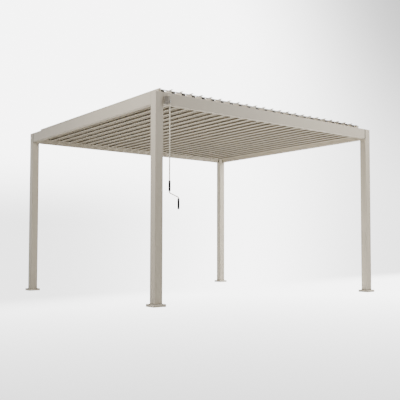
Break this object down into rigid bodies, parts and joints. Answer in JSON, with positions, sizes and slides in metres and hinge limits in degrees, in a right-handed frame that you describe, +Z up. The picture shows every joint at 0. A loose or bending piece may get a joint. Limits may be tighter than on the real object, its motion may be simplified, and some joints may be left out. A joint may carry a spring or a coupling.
{
  "type": "louvered pergola",
  "caption": "Free-standing flat-roof pergola: square posts on foot covers, box beams, pivoting hollow roof blades joined by a tie bar, gearbox and hanging hand crank.",
  "frame": {"origin": "on the ground under the middle of the roof", "axes": "+Z up, +X along the front beam from the crank's post, -Y the front"},
  "size_m": [3.994, 3.724, 2.5665],
  "materials": {
    "powder_coat": "fine matt powder coat, warm pebble grey",
    "tie_aluminium": "mill-finished extrusion",
    "zinc_steel": "zinc-plated",
    "gear_housing": "grey-brown moulded housing",
    "crank_steel": "light powder-coated steel rod",
    "grip_plastic": "black moulded plastic"
  },
  "bodies": {
    "frame": {"post_near": "powder_coat", "post_cap_near": "powder_coat", "anchor_plate_near": "zinc_steel", "foot_cover_near": "powder_coat", "post_left": "powder_coat", "post_cap_left": "powder_coat", "anchor_plate_left": "zinc_steel", "foot_cover_left": "powder_coat", "post_right": "powder_coat", "post_cap_right": "powder_coat", "anchor_plate_right": "zinc_steel", "foot_cover_right": "powder_coat", "post_rear": "powder_coat", "post_cap_rear": "powder_coat", "anchor_plate_rear": "zinc_steel", "foot_cover_rear": "powder_coat", "beam_front": "powder_coat", "beam_back": "powder_coat", "beam_left": "powder_coat", "beam_right": "powder_coat", "bearing_rail_front": "tie_aluminium", "bearing_rail_back": "tie_aluminium", "gearbox": "gear_housing", "shaft_bracket": "powder_coat", "crank_eye": "zinc_steel"},
    "louver_01": {"louver_01": "powder_coat"},
    "louver_02": {"louver_02": "powder_coat"},
    "louver_03": {"louver_03": "powder_coat"},
    "louver_04": {"louver_04": "powder_coat"},
    "louver_05": {"louver_05": "powder_coat"},
    "louver_06": {"louver_06": "powder_coat"},
    "louver_07": {"louver_07": "powder_coat"},
    "louver_08": {"louver_08": "powder_coat"},
    "louver_09": {"louver_09": "powder_coat"},
    "louver_10": {"louver_10": "powder_coat"},
    "louver_11": {"louver_11": "powder_coat"},
    "louver_12": {"louver_12": "powder_coat"},
    "louver_13": {"louver_13": "powder_coat"},
    "louver_14": {"louver_14": "powder_coat"},
    "louver_15": {"louver_15": "powder_coat"},
    "louver_16": {"louver_16": "powder_coat"},
    "louver_17": {"louver_17": "powder_coat"},
    "louver_18": {"louver_18": "powder_coat"},
    "louver_19": {"louver_19": "powder_coat"},
    "louver_20": {"louver_20": "powder_coat"},
    "louver_21": {"louver_21": "powder_coat"},
    "louver_22": {"louver_22": "powder_coat"},
    "louver_23": {"louver_23": "powder_coat"},
    "louver_24": {"louver_24": "powder_coat"},
    "louver_25": {"louver_25": "powder_coat"},
    "tie_bar": {"tie_bar": "tie_aluminium"},
    "crank": {"crank_rod": "crank_steel"},
    "upper_grip": {"upper_grip": "grip_plastic"},
    "lower_grip": {"lower_grip": "grip_plastic"}
  },
  "joints": [
    {"name": "louver_01_turn", "type": "hinge", "parent": "frame", "child": "louver_01", "pos_m": [-1.81427, 0, 2.48], "axis": [0, 1, 0], "range_deg": [0, 90]},
    {"name": "louver_02_turn", "type": "hinge", "parent": "frame", "child": "louver_02", "pos_m": [-1.66327, 0, 2.48], "axis": [0, 1, 0], "range_deg": [0, 90]},
    {"name": "louver_03_turn", "type": "hinge", "parent": "frame", "child": "louver_03", "pos_m": [-1.51227, 0, 2.48], "axis": [0, 1, 0], "range_deg": [0, 90]},
    {"name": "louver_04_turn", "type": "hinge", "parent": "frame", "child": "louver_04", "pos_m": [-1.36127, 0, 2.48], "axis": [0, 1, 0], "range_deg": [0, 90]},
    {"name": "louver_05_turn", "type": "hinge", "parent": "frame", "child": "louver_05", "pos_m": [-1.21027, 0, 2.48], "axis": [0, 1, 0], "range_deg": [0, 90]},
    {"name": "louver_06_turn", "type": "hinge", "parent": "frame", "child": "louver_06", "pos_m": [-1.05927, 0, 2.48], "axis": [0, 1, 0], "range_deg": [0, 90]},
    {"name": "louver_07_turn", "type": "hinge", "parent": "frame", "child": "louver_07", "pos_m": [-0.90827, 0, 2.48], "axis": [0, 1, 0], "range_deg": [0, 90]},
    {"name": "louver_08_turn", "type": "hinge", "parent": "frame", "child": "louver_08", "pos_m": [-0.75727, 0, 2.48], "axis": [0, 1, 0], "range_deg": [0, 90]},
    {"name": "louver_09_turn", "type": "hinge", "parent": "frame", "child": "louver_09", "pos_m": [-0.60627, 0, 2.48], "axis": [0, 1, 0], "range_deg": [0, 90]},
    {"name": "louver_10_turn", "type": "hinge", "parent": "frame", "child": "louver_10", "pos_m": [-0.45527, 0, 2.48], "axis": [0, 1, 0], "range_deg": [0, 90]},
    {"name": "louver_11_turn", "type": "hinge", "parent": "frame", "child": "louver_11", "pos_m": [-0.30427, 0, 2.48], "axis": [0, 1, 0], "range_deg": [0, 90]},
    {"name": "louver_12_turn", "type": "hinge", "parent": "frame", "child": "louver_12", "pos_m": [-0.15327, 0, 2.48], "axis": [0, 1, 0], "range_deg": [0, 90]},
    {"name": "louver_13_turn", "type": "hinge", "parent": "frame", "child": "louver_13", "pos_m": [-0.00227, 0, 2.48], "axis": [0, 1, 0], "range_deg": [0, 90]},
    {"name": "louver_14_turn", "type": "hinge", "parent": "frame", "child": "louver_14", "pos_m": [0.14873, 0, 2.48], "axis": [0, 1, 0], "range_deg": [0, 90]},
    {"name": "louver_15_turn", "type": "hinge", "parent": "frame", "child": "louver_15", "pos_m": [0.29973, 0, 2.48], "axis": [0, 1, 0], "range_deg": [0, 90]},
    {"name": "louver_16_turn", "type": "hinge", "parent": "frame", "child": "louver_16", "pos_m": [0.45073, 0, 2.48], "axis": [0, 1, 0], "range_deg": [0, 90]},
    {"name": "louver_17_turn", "type": "hinge", "parent": "frame", "child": "louver_17", "pos_m": [0.60173, 0, 2.48], "axis": [0, 1, 0], "range_deg": [0, 90]},
    {"name": "louver_18_turn", "type": "hinge", "parent": "frame", "child": "louver_18", "pos_m": [0.75273, 0, 2.48], "axis": [0, 1, 0], "range_deg": [0, 90]},
    {"name": "louver_19_turn", "type": "hinge", "parent": "frame", "child": "louver_19", "pos_m": [0.90373, 0, 2.48], "axis": [0, 1, 0], "range_deg": [0, 90]},
    {"name": "louver_20_turn", "type": "hinge", "parent": "frame", "child": "louver_20", "pos_m": [1.05473, 0, 2.48], "axis": [0, 1, 0], "range_deg": [0, 90]},
    {"name": "louver_21_turn", "type": "hinge", "parent": "frame", "child": "louver_21", "pos_m": [1.20573, 0, 2.48], "axis": [0, 1, 0], "range_deg": [0, 90]},
    {"name": "louver_22_turn", "type": "hinge", "parent": "frame", "child": "louver_22", "pos_m": [1.35673, 0, 2.48], "axis": [0, 1, 0], "range_deg": [0, 90]},
    {"name": "louver_23_turn", "type": "hinge", "parent": "frame", "child": "louver_23", "pos_m": [1.50773, 0, 2.48], "axis": [0, 1, 0], "range_deg": [0, 90]},
    {"name": "louver_24_turn", "type": "hinge", "parent": "frame", "child": "louver_24", "pos_m": [1.65873, 0, 2.48], "axis": [0, 1, 0], "range_deg": [0, 90]},
    {"name": "louver_25_turn", "type": "hinge", "parent": "frame", "child": "louver_25", "pos_m": [1.80973, 0, 2.48], "axis": [0, 1, 0], "range_deg": [0, 90]},
    {"name": "tie_bar_swing", "type": "hinge", "parent": "louver_01", "child": "tie_bar", "pos_m": [-1.84777, -1.757, 2.538], "axis": [0, 1, 0], "range_deg": [-90, 0]},
    {"name": "crank_swing", "type": "hinge", "parent": "frame", "child": "crank", "pos_m": [-1.779, -1.847, 2.3788], "axis": [-1, 0, 0], "range_deg": [0, 70]},
    {"name": "upper_grip_spin", "type": "hinge", "parent": "crank", "child": "upper_grip", "pos_m": [-1.779, -1.847, 1.3975], "axis": [0, 0, 1], "continuous": true},
    {"name": "lower_grip_spin", "type": "hinge", "parent": "crank", "child": "lower_grip", "pos_m": [-1.651, -1.847, 1.193], "axis": [0, 0, 1], "continuous": true}
  ],
  "couplings": [
    {"joint": "louver_02_turn", "follows": "louver_01_turn", "ratio": 1},
    {"joint": "louver_03_turn", "follows": "louver_01_turn", "ratio": 1},
    {"joint": "louver_04_turn", "follows": "louver_01_turn", "ratio": 1},
    {"joint": "louver_05_turn", "follows": "louver_01_turn", "ratio": 1},
    {"joint": "louver_06_turn", "follows": "louver_01_turn", "ratio": 1},
    {"joint": "louver_07_turn", "follows": "louver_01_turn", "ratio": 1},
    {"joint": "louver_08_turn", "follows": "louver_01_turn", "ratio": 1},
    {"joint": "louver_09_turn", "follows": "louver_01_turn", "ratio": 1},
    {"joint": "louver_10_turn", "follows": "louver_01_turn", "ratio": 1},
    {"joint": "louver_11_turn", "follows": "louver_01_turn", "ratio": 1},
    {"joint": "louver_12_turn", "follows": "louver_01_turn", "ratio": 1},
    {"joint": "louver_13_turn", "follows": "louver_01_turn", "ratio": 1},
    {"joint": "louver_14_turn", "follows": "louver_01_turn", "ratio": 1},
    {"joint": "louver_15_turn", "follows": "louver_01_turn", "ratio": 1},
    {"joint": "louver_16_turn", "follows": "louver_01_turn", "ratio": 1},
    {"joint": "louver_17_turn", "follows": "louver_01_turn", "ratio": 1},
    {"joint": "louver_18_turn", "follows": "louver_01_turn", "ratio": 1},
    {"joint": "louver_19_turn", "follows": "louver_01_turn", "ratio": 1},
    {"joint": "louver_20_turn", "follows": "louver_01_turn", "ratio": 1},
    {"joint": "louver_21_turn", "follows": "louver_01_turn", "ratio": 1},
    {"joint": "louver_22_turn", "follows": "louver_01_turn", "ratio": 1},
    {"joint": "louver_23_turn", "follows": "louver_01_turn", "ratio": 1},
    {"joint": "louver_24_turn", "follows": "louver_01_turn", "ratio": 1},
    {"joint": "louver_25_turn", "follows": "louver_01_turn", "ratio": 1},
    {"joint": "tie_bar_swing", "follows": "louver_01_turn", "ratio": -1}
  ]
}
